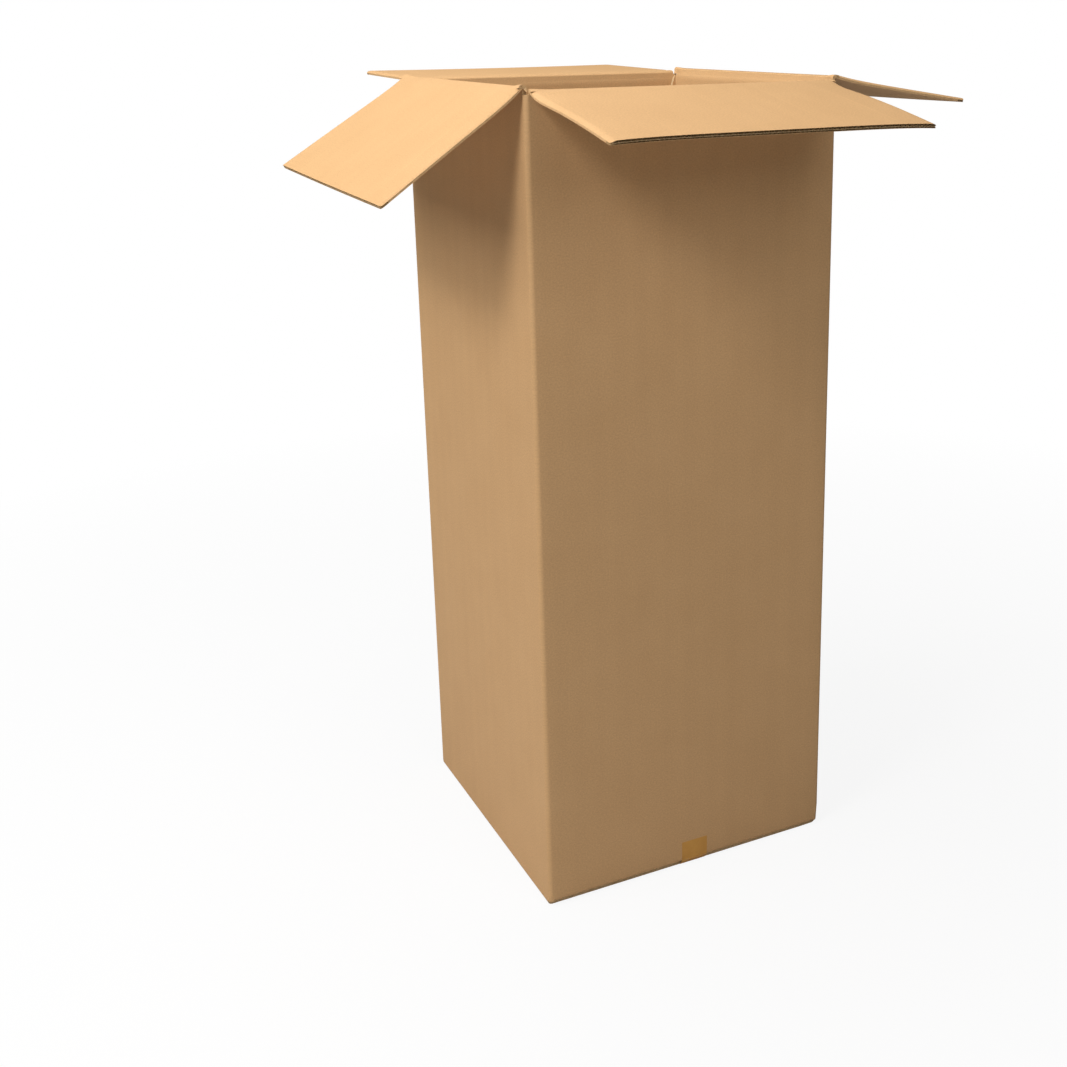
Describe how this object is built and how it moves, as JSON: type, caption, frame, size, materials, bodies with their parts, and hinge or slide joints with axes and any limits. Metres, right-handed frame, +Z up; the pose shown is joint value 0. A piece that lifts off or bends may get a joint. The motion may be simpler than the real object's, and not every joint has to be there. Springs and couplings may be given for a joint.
{
  "type": "double wall corrugated box",
  "caption": "Tall slotted carton of double wall corrugated board with scored top flaps folded open, bottom flaps closed and taped",
  "frame": {"origin": "under the middle of the bottom, on the underside of the bottom tape", "axes": "+Z up, the front panel faces -Y, the panel with the glue lap fold faces +X"},
  "size_m": [1.0017, 1.0362, 1.3026],
  "materials": {
    "kraft_board": "matte",
    "paper_tape": "satin"
  },
  "bodies": {
    "case": {"case": "kraft_board", "bottom_tape": "paper_tape"},
    "front_flap": {"front_flap": "kraft_board"},
    "back_flap": {"back_flap": "kraft_board"},
    "left_flap": {"left_flap": "kraft_board"},
    "right_flap": {"right_flap": "kraft_board"}
  },
  "joints": [
    {"name": "front_flap_score", "type": "hinge", "parent": "case", "child": "front_flap", "pos_m": [0, -0.26062, 1.2902], "axis": [1, 0, 0], "range_deg": [-191, 74]},
    {"name": "back_flap_score", "type": "hinge", "parent": "case", "child": "back_flap", "pos_m": [0, 0.26062, 1.2902], "axis": [-1, 0, 0], "range_deg": [-179, 86]},
    {"name": "left_flap_score", "type": "hinge", "parent": "case", "child": "left_flap", "pos_m": [-0.26062, 0, 1.2971], "axis": [0, -1, 0], "range_deg": [-212, 53]},
    {"name": "right_flap_score", "type": "hinge", "parent": "case", "child": "right_flap", "pos_m": [0.26062, 0, 1.2971], "axis": [0, 1, 0], "range_deg": [-189, 76]}
  ]
}
